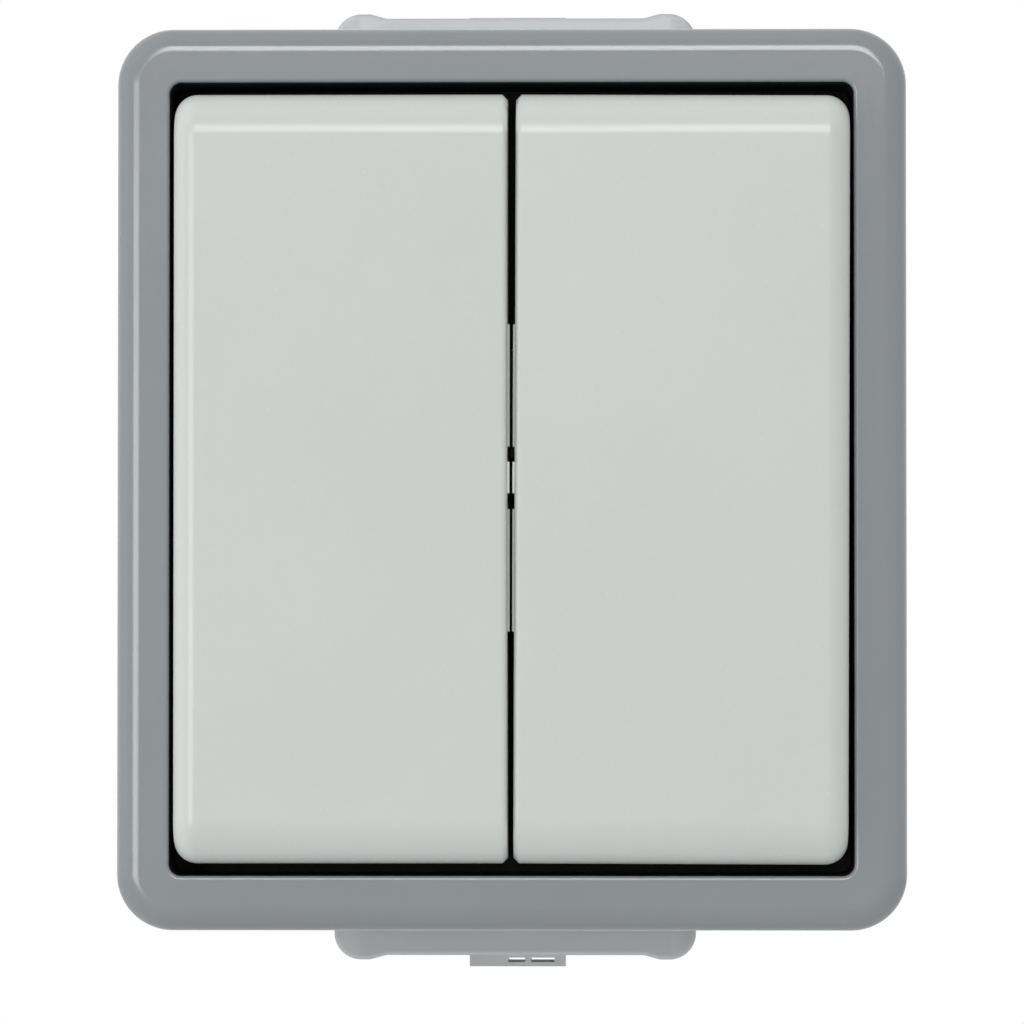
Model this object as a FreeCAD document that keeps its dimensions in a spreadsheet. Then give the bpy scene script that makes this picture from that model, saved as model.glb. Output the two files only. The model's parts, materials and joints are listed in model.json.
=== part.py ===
"""Surface-mounted weatherproof switch with two rockers.

Millimetres. The wall is the plane y = 0, +X is to the right and +Z is up for someone who faces
the switch, and the front looks along -Y. A depth below is a distance from the wall, so it is -y.
The origin is the middle of the back face.
"""
import FreeCAD, Part
import math
import os
import re
import Sketcher

doc = FreeCAD.newDocument("WeatherproofSwitch")

# The driving dimensions: name, value, meaning
SIZES = [
    ("frame_width", 66.0, "front frame, outer width"),
    ("frame_height", 75.4, "front frame, outer height"),
    ("frame_corner", 4.7, "front frame, corner radius seen from the front"),
    ("frame_edge_round", 2.0, "front frame, rounding of its outer front edge"),
    ("frame_front", 47.0, "depth of the frame's face"),
    ("frame_deep", 21.5, "front frame, from its face to its rear edge"),
    ("frame_wall", 1.6, "front frame, skirt wall"),
    ("frame_face", 2.0, "front frame, face thickness"),
    ("groove_side", 1.65, "groove between skirt and collar, width at the sides"),
    ("groove_end", 1.8, "groove between skirt and collar, width at the top and bottom"),
    ("opening_corner", 1.0, "rocker opening, corner radius"),
    ("opening_bevel", 0.25, "rocker opening, bevel of its front edge"),
    ("collar_wall", 1.2, "wall that runs back from the opening"),
    ("collar_deep", 9.0, "from the frame's face to that wall's rear edge"),
    ("snap_height", 0.4, "snap ridge inside the skirt, height"),
    ("snap_length", 12.0, "snap ridge, length"),
    ("snap_width", 1.6, "snap ridge, width at its foot"),
    ("snap_margin", 2.5, "snap ridge, distance from the frame's rear edge"),
    ("base_inset", 0.4, "base box, how far it stands inside the frame's outline"),
    ("base_back", 2.2, "base box, back wall"),
    ("base_back_bevel", 0.6, "base box, bevel round the back face"),
    ("step_gap", 0.3, "gap between the frame's rear edge and the base box's step"),
    ("rim_fit", 0.15, "clearance between the frame's skirt and the rim of the base box"),
    ("rim_gap", 0.25, "gap between the rim and the frame's collar"),
    ("gasket_height", 2.5, "gasket in the frame's groove, height"),
    ("gasket_fit", 0.1, "gasket, clearance to both sides of its groove"),
    ("wall_hole_radius", 2.1, "wall screw holes, radius"),
    ("wall_hole_inset", 6.5, "wall screw holes, distance from the side walls"),
    ("wall_hole_drop", 6.2, "wall screw holes, distance from the top and bottom walls"),
    ("entry_slot_rear", 4.0, "slot for a cable entry, depth of its rear end"),
    ("entry_fit", 0.1, "cable entry, clearance in its slot"),
    ("hood_lap", 2.1, "cable entry hood, how far it laps the slot at each side"),
    ("hood_rise", 3.85, "cable entry hood, height of its shoulders over the base box"),
    ("hood_dish", 0.38, "cable entry hood, how far its middle lies below the shoulders"),
    ("hood_shoulder", 3.1, "cable entry hood, width of a shoulder"),
    ("hood_dish_run", 1.4, "cable entry hood, width of the slope up to a shoulder"),
    ("hood_corner", 2.3, "cable entry hood, shoulder radius"),
    ("hood_front_bevel", 0.4, "cable entry hood, bevel of its front edge"),
    ("hood_clearance", 0.5, "gap between the hood and the frame's rear edge"),
    ("hood_rear", 3.0, "cable entry hood, depth of its rear"),
    ("flange_lap", 1.4, "cable entry inner flange, how far it laps the slot at each side"),
    ("flange_thick", 1.3, "cable entry inner flange, thickness"),
    ("tab_half", 4.3, "grip tab on the cable entry, half width"),
    ("tab_rise", 1.45, "grip tab, height over the hood's shoulders"),
    ("tab_thick", 5.0, "grip tab, thickness"),
    ("tab_slot_start", 0.2, "first slot in the grip tab, distance from the middle"),
    ("tab_slot_length", 1.6, "slots in the grip tab, length"),
    ("tab_slot_height", 0.35, "slots in the grip tab, height"),
    ("tab_slot_pitch", 1.85, "slots in the grip tab, distance from one to the next"),
    ("nipple_radius", 5.6, "cable membrane, radius"),
    ("nipple_web", 2.0, "cable membranes, half the web between the two of one entry"),
    ("nipple_side", 0.4, "cable membranes, distance from the slot's side"),
    ("nipple_deep", 2.6, "cable membrane, how far it lies below the hood"),
    ("membrane_thick", 0.9, "cable membrane, thickness"),
    ("rocker_proud", 3.3, "rockers, how far they stand out from the frame's face"),
    ("rocker_deep", 7.8, "rockers, from their face to their rear edge"),
    ("rocker_wall", 1.3, "rocker, side wall"),
    ("rocker_face", 1.5, "rocker, face thickness"),
    ("rocker_end_round", 3.6, "rocker, rounding at its top and bottom ends"),
    ("rocker_end_inner", 2.3, "rocker, rounding inside those ends"),
    ("rocker_side_round", 1.9, "rocker, rounding along its outer side"),
    ("rocker_slit_bevel", 0.45, "rocker, bevel along the slit"),
    ("rocker_side_gap", 0.48, "gap between a rocker and the frame at the side"),
    ("rocker_end_gap", 1.05, "gap between a rocker and the frame at the top and bottom"),
    ("rocker_slit", 0.6, "slit between the rockers, width"),
    ("rocker_lean", 0.2, "angle by which the right rocker leans clockwise in its clips, in degrees"),
    ("guide_length", 25.5, "raised guide strip on a rocker's slit side, length"),
    ("guide_gap", 0.26, "gap between the two guide strips"),
    ("guide_sunk", 1.5, "guide strip, how far it starts behind the rocker's face"),
    ("boss_half", 1.3, "pivot boss on the guide strip, half height"),
    ("boss_notch", 1.3, "notch each side of the pivot boss, width"),
    ("boss_gap", 0.26, "gap between the two pivot bosses"),
    ("boss_sunk", 0.5, "pivot boss, how far it starts behind the rocker's face"),
    ("web_place", 8.0, "webs under a rocker, distance from its middle"),
    ("web_thick", 1.2, "webs under a rocker, thickness"),
    ("hook_thick", 1.25, "rocker hook, thickness"),
    ("hook_half", 3.0, "rocker hook, half width"),
    ("hook_grip", 0.7, "rocker hook, how far its barb reaches under the carrier"),
    ("hook_fit", 0.15, "rocker hook, clearance to the carrier"),
    ("barb_thick", 0.55, "rocker hook, barb thickness"),
    ("axle_sunk", 8.5, "rocker axle, how far it lies behind the frame's face"),
    ("axle_radius", 1.0, "rocker axle, radius"),
    ("axle_inset", 0.1, "rocker axle, how far it ends inside the turret's sides"),
    ("axle_fit", 0.02, "clearance of the axle in its pedestals"),
    ("hub_fit", 0.05, "running clearance of the carriers on the axle"),
    ("hub_radius", 2.2, "carrier hub, radius"),
    ("saddle_inset", 0.4, "carrier saddle, how far it stays inside the hub's ends"),
    ("saddle_half", 12.0, "carrier saddle, half height"),
    ("saddle_rise", 2.5, "carrier saddle, distance of its rear from the axle's line"),
    ("saddle_thick", 2.0, "carrier saddle, thickness"),
    ("saddle_web_half", 1.8, "web between hub and saddle, half height"),
    ("post_half_width", 3.75, "carrier post, half width"),
    ("post_half_height", 3.4, "carrier post, half height"),
    ("post_length", 14.5, "carrier post, from the axle's line to its tip"),
    ("post_bore", 2.1, "bore in the post, radius"),
    ("post_bore_stop", 2.5, "end of that bore, distance from the axle's line"),
    ("plunger_radius", 1.95, "snap plunger, radius"),
    ("plunger_length", 9.0, "snap plunger, length"),
    ("plunger_bevel", 0.9, "snap plunger, bevel of its tip"),
    ("plunger_fit", 0.1, "gap between the snap plunger's tip and the seesaw"),
    ("spring_coil", 1.5, "snap spring, radius of the coil's middle line"),
    ("spring_wire", 0.45, "snap spring, side of its square wire"),
    ("spring_turns", 2.0, "snap spring, turns"),
    ("pedestal_thick", 2.0, "outer axle pedestals, thickness"),
    ("pedestal_middle_half", 1.6, "middle axle pedestal, half thickness"),
    ("pedestal_radius", 2.0, "axle pedestals, radius round the axle"),
    ("pedestal_inset", 0.4, "outer axle pedestals, distance from the turret's sides"),
    ("pedestal_play", 0.4, "gap between hub and pedestal"),
    ("turret_drop", 0.5, "turret, how far its front lies behind the axle's line"),
    ("turret_rise", 7.0, "mechanism cover, from the socket to the turret's front"),
    ("turret_half", 11.0, "turret, half height"),
    ("turret_side", 3.4, "gap between the turret's side and the yoke screw's middle"),
    ("window_play", 2.1, "turret window, room above and below the carrier's post"),
    ("cover_thick", 2.0, "mechanism cover, flange thickness"),
    ("cover_lap", 2.6, "mechanism cover, how far its flange laps the contact chamber"),
    ("socket_deep", 16.5, "mechanism socket, depth of the block"),
    ("socket_corner", 1.0, "mechanism socket, corner radius"),
    ("socket_wall", 3.2, "mechanism socket, from the terminals' middle to its end"),
    ("socket_floor", 2.5, "mechanism socket, floor under the contact strips"),
    ("chamber_near", 3.2, "contact chamber, distance of its inner wall from the middle"),
    ("chamber_side", 4.0, "contact chamber, wall at its outer side"),
    ("chamber_room", 2.2, "contact chamber, room past the seesaw's ends"),
    ("strip_thick", 1.0, "contact strips, thickness"),
    ("strip_half", 2.0, "contact strips, half width"),
    ("strip_fit", 0.05, "contact strips, clearance in their channels"),
    ("strip_overrun", 2.0, "contact strips, how far they run past the terminals' middle"),
    ("strip_margin", 1.9, "switched strip, how far it starts before its contact's middle"),
    ("branch_half", 1.5, "branch of the busbar, half width"),
    ("seesaw_rise", 2.5, "seesaw's pivot line, distance from the contact strips"),
    ("seesaw_pivot", 0.6, "busbar's pivot edge, radius"),
    ("seesaw_fit", 0.05, "running clearance of the seesaw on its pivot edge"),
    ("seesaw_hub", 1.4, "contact seesaw, radius round its pivot"),
    ("seesaw_thick", 0.8, "contact seesaw, strip thickness"),
    ("seesaw_half", 9.8, "contact seesaw, half length"),
    ("seesaw_half_width", 3.0, "contact seesaw, half width"),
    ("contact_inset", 1.3, "contact tips, distance of their middle from the seesaw's end"),
    ("contact_half", 1.2, "contact tips, half width"),
    ("moving_contact_thick", 0.7, "contact tip on the seesaw, thickness"),
    ("fixed_contact_thick", 1.1, "contact tip on the fixed strip, thickness"),
    ("stop_half", 0.8, "seesaw's stop, half height"),
    ("stop_rise", 1.8, "seesaw's stop, height over the contact strips"),
    ("terminal_wall", 2.8, "wall between the contact chamber and a terminal pocket"),
    ("terminal_inset", 3.0, "terminals, distance of their middle from the pocket's inner end"),
    ("pocket_half", 3.6, "terminal pocket, half width"),
    ("pocket_drop", 1.0, "terminal pocket, how far its floor lies below the strips"),
    ("cage_half_width", 3.3, "terminal cage, half width"),
    ("cage_half_height", 2.5, "terminal cage, half height"),
    ("cage_rise", 4.8, "terminal cage, height over the contact strips"),
    ("cage_front_wall", 1.3, "terminal cage, front wall"),
    ("cage_side_wall", 0.9, "terminal cage, side wall"),
    ("yoke_hole_radius", 1.5, "holes for the yoke screws, radius"),
    ("yoke_side", 0.5, "support yoke, gap to the base box's side walls"),
    ("yoke_lap", 0.6, "support yoke, how far it laps the cover's flange"),
    ("yoke_corner", 2.0, "support yoke, corner radius"),
    ("yoke_thick", 1.0, "support yoke, sheet thickness"),
    ("yoke_fit", 0.3, "clearance round the turret in the yoke and in the membrane"),
    ("yoke_screw_inset", 3.6, "yoke screws, distance from the base box's side walls"),
    ("yoke_boss", 3.0, "boss under a yoke screw, half height"),
    ("seal_thick", 1.0, "seal membrane, thickness"),
    ("lip_wall", 1.0, "lip of the membrane round the turret, wall"),
    ("lip_height", 0.8, "lip of the membrane, height"),
    ("earth_x", 12.0, "earth terminal, place to the right of the middle"),
    ("earth_drop", 7.7, "earth terminal, distance from the bottom wall"),
    ("earth_half", 3.5, "earth terminal block, half width"),
    ("earth_front", 10.0, "depth of the earth terminal's front"),
    ("earth_wire_radius", 1.7, "earth terminal, radius of its wire hole"),
    ("earth_wire_depth", 6.0, "depth of that wire hole"),
    ("earth_seat_fit", 0.1, "clearance of the earth terminal in its seat"),
    ("earth_seat_wall", 1.0, "seat of the earth terminal, wall"),
    ("earth_seat_height", 2.8, "seat of the earth terminal, height"),
    ("overcut", 1.0, "how far a cut runs past the face that it opens"),
]

sheet = doc.addObject("Spreadsheet::Sheet", "Sizes")
for row, (alias, value, meaning) in enumerate(SIZES, start=1):
    sheet.set(f"A{row}", meaning)
    sheet.set(f"B{row}", str(value))
    sheet.setAlias(f"B{row}", alias)
doc.recompute()
ALIASES = {alias for alias, value, meaning in SIZES}

# Measures that follow from the driving ones, each a formula in names above it
DERIVED = {
    # Front frame and base box, across and up
    "skirt_x": "frame_width / 2 - frame_wall",
    "skirt_z": "frame_height / 2 - frame_wall",
    "skirt_corner": "frame_corner - frame_wall",
    "collar_x": "skirt_x - groove_side",
    "collar_z": "skirt_z - groove_end",
    "collar_corner": "opening_corner + collar_wall",
    "opening_x": "collar_x - collar_wall",
    "opening_z": "collar_z - collar_wall",
    "rim_wall": "groove_side - rim_fit - rim_gap",
    "rim_x": "skirt_x - rim_fit",
    "rim_z": "skirt_z - rim_fit",
    "rim_corner": "skirt_corner - rim_fit",
    "inner_x": "rim_x - rim_wall",
    "inner_z": "rim_z - rim_wall",
    "inner_corner": "rim_corner - rim_wall",
    "base_x": "frame_width / 2 - base_inset",
    "base_z": "frame_height / 2 - base_inset",
    "wall_hole_x": "inner_x - wall_hole_inset",
    "wall_hole_z": "inner_z - wall_hole_drop",
    "nipple_middle": "nipple_web + nipple_radius",
    "entry_slot_half": "nipple_middle + nipple_radius + nipple_side",
    "hood_half": "entry_slot_half + hood_lap",
    "hood_slope_far": "hood_half - hood_shoulder",
    "hood_dish_half": "hood_slope_far - hood_dish_run",
    "hood_height": "base_z + hood_rise",
    "tab_height": "hood_height + tab_rise",
    "flange_half": "entry_slot_half + flange_lap",
    "earth_z": "inner_z - earth_drop",
    # Rockers and mechanism, across
    "rocker_far": "opening_x - rocker_side_gap",
    "yoke_x": "inner_x - yoke_side",
    "yoke_screw_x": "inner_x - yoke_screw_inset",
    "turret_x": "yoke_screw_x - turret_side",
    "axle_half": "turret_x - axle_inset",
    "pedestal_far": "turret_x - pedestal_inset",
    "pedestal_near": "pedestal_far - pedestal_thick",
    "hub_near": "pedestal_middle_half + pedestal_play",
    "hub_far": "pedestal_near - pedestal_play",
    "chamber_far": "turret_x - chamber_side",
    "post_middle": "(chamber_near + chamber_far) / 2",
    # Rockers and mechanism, up
    "rocker_top": "opening_z - rocker_end_gap",
    "contact_place": "seesaw_half - contact_inset",
    "chamber_half": "seesaw_half + chamber_room",
    "cover_half": "chamber_half + cover_lap",
    "yoke_z": "cover_half + yoke_lap",
    "pocket_start": "chamber_half + terminal_wall",
    "terminal_place": "pocket_start + terminal_inset",
    "socket_half": "terminal_place + socket_wall",
    "strip_reach": "terminal_place + strip_overrun",
    "strip_start": "contact_place - strip_margin",
    "window_half": "post_half_height + window_play",
    # Depths, from the frame's face back
    "frame_rear": "frame_front - frame_deep",
    "groove_floor": "frame_front - frame_face",
    "rim_front": "groove_floor - gasket_height",
    "collar_rear": "frame_front - collar_deep",
    "seal_rear": "collar_rear - seal_thick",
    "snap_rear": "frame_rear + snap_margin",
    "step": "frame_rear - step_gap",
    "hood_front": "frame_rear - hood_clearance",
    "nipple_depth": "(hood_rear + hood_front) / 2",
    "tab_front": "hood_rear + tab_thick",
    "rocker_front": "frame_front + rocker_proud",
    "rocker_rear": "rocker_front - rocker_deep",
    "rocker_ceiling": "rocker_front - rocker_face",
    "axle_depth": "frame_front - axle_sunk",
    "saddle_rear": "axle_depth + saddle_rise",
    "saddle_front": "saddle_rear + saddle_thick",
    "post_tip": "axle_depth - post_length",
    "post_bore_end": "axle_depth - post_bore_stop",
    "turret_front": "axle_depth - turret_drop",
    "socket_front": "turret_front - turret_rise",
    "yoke_rear": "socket_front + cover_thick",
    "yoke_front": "yoke_rear + yoke_thick",
    "socket_rear": "socket_front - socket_deep",
    "strip_rear": "socket_rear + socket_floor",
    "strip_front": "strip_rear + strip_thick",
    "seesaw_depth": "strip_front + seesaw_rise",
    "seesaw_front": "seesaw_depth + seesaw_hub",
    "seesaw_rear": "seesaw_front - seesaw_thick",
    "plunger_tip": "seesaw_front + plunger_fit",
    "plunger_end": "plunger_tip + plunger_length",
    "stop_front": "strip_front + stop_rise",
    "pocket_rear": "strip_rear - pocket_drop",
    "cage_front": "strip_front + cage_rise",
}

sub_parts = []


def bound(formula):
    """Gives a formula in the names above as an expression of the document."""
    def written_out(word):
        if word[0] in DERIVED:
            return f"({bound(DERIVED[word[0]])})"
        return f"Sizes.{word[0]}" if word[0] in ALIASES else word[0]

    return re.sub("[a-z_]+", written_out, formula)


def number(formula):
    """The value of a formula in the sheet's names."""
    return float(sheet.evalExpression(bound(formula)))


def add_body(label):
    body = doc.addObject("PartDesign::Body", label)
    body.Label = label
    body.AllowCompound = True
    sub_parts.append(body)
    return body


def sketch_on(body, name, role, offset):
    """A sketch parallel to one of the body's origin planes.

    On XZ_Plane it faces the viewer and its offset is a depth. On YZ_Plane its own x is -depth and
    its offset is x. On XY_Plane its own y is -depth and its offset is z.
    """
    plane = next(feature for feature in body.Origin.OriginFeatures if feature.Role == role)
    sketch = body.newObject("Sketcher::SketchObject", f"{body.Label}_{name}_sketch")
    sketch.AttachmentSupport = (plane, [""])
    sketch.MapMode = "FlatFace"
    sketch.setExpression("AttachmentOffset.Base.z", bound(offset))
    return sketch


def lock(sketch, kind, geometry, point, formula):
    """Ties one coordinate of a point to a formula."""
    index = sketch.addConstraint(Sketcher.Constraint(kind, -1, 1, geometry, point, number(formula)))
    sketch.setExpression(f"Constraints[{index}]", bound(formula))


def polygon(sketch, *points):
    """A closed outline through points given as pairs of formulas."""
    first = sketch.GeometryCount
    corners = [FreeCAD.Vector(number(across), number(up), 0) for across, up in points]
    count = len(points)
    for index in range(count):
        sketch.addGeometry(Part.LineSegment(corners[index], corners[(index + 1) % count]))
    for index in range(count):
        following = first + (index + 1) % count
        sketch.addConstraint(Sketcher.Constraint("Coincident", first + index, 2, following, 1))
    for index, (across, up) in enumerate(points):
        lock(sketch, "DistanceX", first + index, 1, across)
        lock(sketch, "DistanceY", first + index, 1, up)


def rectangle(sketch, left, right, bottom, top):
    polygon(sketch, (left, bottom), (right, bottom), (right, top), (left, top))


def circle(sketch, across, up, radius):
    middle = FreeCAD.Vector(number(across), number(up), 0)
    index = sketch.addGeometry(Part.Circle(middle, FreeCAD.Vector(0, 0, 1), number(radius)))
    size = sketch.addConstraint(Sketcher.Constraint("Radius", index, number(radius)))
    sketch.setExpression(f"Constraints[{size}]", bound(radius))
    lock(sketch, "DistanceX", index, 3, across)
    lock(sketch, "DistanceY", index, 3, up)


def rounded_panel(sketch, half_width, half_height, radius):
    """A rectangle about the middle with four equal corner arcs."""
    across = number(half_width)
    up = number(half_height)
    corner = number(radius)
    first = sketch.GeometryCount
    flat_across = across - corner
    flat_up = up - corner
    lines = [
        ((-flat_across, -up), (flat_across, -up)),
        ((across, -flat_up), (across, flat_up)),
        ((flat_across, up), (-flat_across, up)),
        ((-across, flat_up), (-across, -flat_up)),
    ]
    middles = [
        (flat_across, -flat_up),
        (flat_across, flat_up),
        (-flat_across, flat_up),
        (-flat_across, -flat_up),
    ]
    for start, end in lines:
        sketch.addGeometry(Part.LineSegment(FreeCAD.Vector(*start, 0), FreeCAD.Vector(*end, 0)))
    for turn, middle in enumerate(middles):
        start_angle = math.radians(270 + 90 * turn)
        ring = Part.Circle(FreeCAD.Vector(*middle, 0), FreeCAD.Vector(0, 0, 1), corner)
        sketch.addGeometry(Part.ArcOfCircle(ring, start_angle, start_angle + math.pi / 2))
    for turn in range(4):
        line = first + turn
        arc = first + 4 + turn
        sketch.addConstraint(Sketcher.Constraint("Tangent", line, 2, arc, 1))
        sketch.addConstraint(Sketcher.Constraint("Tangent", arc, 2, first + (turn + 1) % 4, 1))
        sketch.addConstraint(Sketcher.Constraint("Vertical" if turn % 2 else "Horizontal", line))
        if turn:
            sketch.addConstraint(Sketcher.Constraint("Equal", first + 4, arc))
    size = sketch.addConstraint(Sketcher.Constraint("Radius", first + 4, corner))
    sketch.setExpression(f"Constraints[{size}]", bound(radius))
    lock(sketch, "DistanceY", first, 1, f"-{half_height}")
    lock(sketch, "DistanceX", first + 1, 1, half_width)
    lock(sketch, "DistanceY", first + 2, 1, half_height)
    lock(sketch, "DistanceX", first + 3, 1, f"-{half_width}")


def add_between(body, name, role, draw, start, end):
    """Adds material over an outline, from one offset of its plane to a higher one."""
    sketch = sketch_on(body, name, role, start)
    draw(sketch)
    pad = body.newObject("PartDesign::Pad", f"{body.Label}_{name}")
    pad.Profile = sketch
    pad.setExpression("Length", bound(f"{end} - ({start})"))
    doc.recompute()
    return pad


def cut_between(body, name, role, draw, start, end):
    """Takes material away over an outline, from one offset of its plane to a higher one."""
    sketch = sketch_on(body, name, role, end)
    draw(sketch)
    before = body.Shape.Volume
    pocket = body.newObject("PartDesign::Pocket", f"{body.Label}_{name}")
    pocket.Profile = sketch
    pocket.setExpression("Length", bound(f"{end} - ({start})"))
    doc.recompute()
    if body.Shape.Volume >= before:
        raise RuntimeError(f"{pocket.Label} cuts nothing")
    return pocket


def add_front(body, name, draw, rear, front):
    """Adds material over a front outline, between two depths."""
    return add_between(body, name, "XZ_Plane", draw, rear, front)


def cut_front(body, name, draw, rear, front):
    return cut_between(body, name, "XZ_Plane", draw, rear, front)


def add_across(body, name, draw, left, right):
    """Adds material over a side outline, between two places across."""
    return add_between(body, name, "YZ_Plane", draw, left, right)


def cut_across(body, name, draw, left, right):
    return cut_between(body, name, "YZ_Plane", draw, left, right)


def add_up(body, name, draw, bottom, top):
    """Adds material over a plan outline, between two heights."""
    return add_between(body, name, "XY_Plane", draw, bottom, top)


def cut_up(body, name, draw, bottom, top):
    return cut_between(body, name, "XY_Plane", draw, bottom, top)


def dress_edges(body, name, kind, measure, size, wanted):
    """Rounds or bevels the edges that satisfy the test, which gets each edge and its middle point."""
    base = body.Tip
    chosen = []
    for index, edge in enumerate(base.Shape.Edges, start=1):
        middle = edge.valueAt((edge.FirstParameter + edge.LastParameter) / 2)
        if wanted(edge, middle):
            chosen.append(f"Edge{index}")
    if not chosen:
        raise RuntimeError(f"{body.Label} has no edge for {name}")
    feature = body.newObject(kind, f"{body.Label}_{name}")
    feature.Base = (base, chosen)
    feature.setExpression(measure, bound(size))
    doc.recompute()
    if "Invalid" in feature.State:
        raise RuntimeError(f"{feature.Label} fails")


def round_edges(body, name, radius, wanted):
    dress_edges(body, name, "PartDesign::Fillet", "Radius", radius, wanted)


def bevel_edges(body, name, size, wanted):
    dress_edges(body, name, "PartDesign::Chamfer", "Size", size, wanted)


def near(value, formula):
    return abs(value - number(formula)) < 1e-4


def runs_back(edge):
    """True for a straight edge square to the wall."""
    start = edge.Vertexes[0].Point
    end = edge.Vertexes[-1].Point
    return abs(start.x - end.x) < 1e-6 and abs(start.z - end.z) < 1e-6


def on_side(side, low, high):
    """Two distances from the middle as a range across, for the left or the right half."""
    if side == "right":
        return low, high
    return f"-({high})", f"-({low})"


def place(side, distance):
    return distance if side == "right" else f"-({distance})"


def make_front_frame():
    body = add_body("front_frame")
    border = ("frame_width / 2", "frame_height / 2", "frame_corner")
    add_front(body, "border", lambda s: rounded_panel(s, *border), "frame_rear", "frame_front")
    round_edges(body, "edge", "frame_edge_round", lambda edge, middle: near(-middle.y, "frame_front"))
    cut_front(body, "hollow", lambda s: rounded_panel(s, "skirt_x", "skirt_z", "skirt_corner"),
              "frame_rear", "groove_floor")
    add_front(body, "collar", lambda s: rounded_panel(s, "collar_x", "collar_z", "collar_corner"),
              "collar_rear", "groove_floor")
    opening = ("opening_x", "opening_z", "opening_corner")
    cut_front(body, "opening", lambda s: rounded_panel(s, *opening), "collar_rear", "frame_front")

    def at_opening(edge, middle):
        inside = abs(middle.x) < number("collar_x") and abs(middle.z) < number("collar_z")
        return inside and near(-middle.y, "frame_front")

    bevel_edges(body, "lip", "opening_bevel", at_opening)
    for side in ("left", "right"):
        foot = place(side, "skirt_x")
        crest = place(side, "skirt_x - snap_height")
        ridge = [
            (foot, "-snap_rear"),
            (crest, "-snap_rear - snap_width / 4"),
            (crest, "-snap_rear - snap_width / 2"),
            (foot, "-snap_rear - snap_width"),
        ]
        add_up(body, f"snap_{side}", lambda s: polygon(s, *ridge), "-snap_length / 2", "snap_length / 2")


def make_base_box():
    body = add_body("base_box")
    add_front(body, "housing", lambda s: rounded_panel(s, "base_x", "base_z", "frame_corner - base_inset"),
              "0", "step")
    bevel_edges(body, "back", "base_back_bevel", lambda edge, middle: near(middle.y, "0"))
    add_front(body, "rim", lambda s: rounded_panel(s, "rim_x", "rim_z", "rim_corner"), "step", "rim_front")
    cut_front(body, "inside", lambda s: rounded_panel(s, "inner_x", "inner_z", "inner_corner"),
              "base_back", "rim_front")

    def wall_holes(sketch):
        for across in ("-wall_hole_x", "wall_hole_x"):
            for up in ("-wall_hole_z", "wall_hole_z"):
                circle(sketch, across, up, "wall_hole_radius")

    cut_front(body, "holes", wall_holes, "0", "base_back")

    boss = ("yoke_screw_x - yoke_boss", "inner_x + rim_wall / 2")
    for side in ("left", "right"):
        across = on_side(side, *boss)
        add_front(body, f"boss_{side}", lambda s: rectangle(s, *across, "-yoke_boss", "yoke_boss"),
                  "base_back", "yoke_rear")

    seat = "earth_half + earth_seat_fit"
    steps = (
        ("earth_seat", f"({seat} + earth_seat_wall)", add_front),
        ("earth_well", f"({seat})", cut_front),
    )
    for name, half, task in steps:
        ends = (f"earth_x - {half}", f"earth_x + {half}", f"-earth_z - {half}", f"-earth_z + {half}")
        task(body, name, lambda s: rectangle(s, *ends), "base_back", "base_back + earth_seat_height")

    for end, sign in (("top", ""), ("bottom", "-")):
        ends = (f"{sign}(inner_z - rim_wall)", f"{sign}(base_z + overcut)")
        slot = ("-entry_slot_half", "entry_slot_half", *ends)
        cut_front(body, f"entry_{end}", lambda s: rectangle(s, *slot), "entry_slot_rear", "rim_front")

    for side in ("left", "right"):
        outer = place(side, "rim_x + rim_fit")
        floor = place(side, "skirt_x - snap_height - rim_fit")
        groove = [
            (outer, "-snap_rear + rim_fit"),
            (floor, "-snap_rear - snap_width / 4 + rim_fit"),
            (floor, "-snap_rear - snap_width / 2 - rim_fit"),
            (outer, "-snap_rear - snap_width - rim_fit"),
        ]
        cut_up(body, f"snap_{side}", lambda s: polygon(s, *groove),
               "-snap_length / 2 - rim_fit", "snap_length / 2 + rim_fit")


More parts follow.
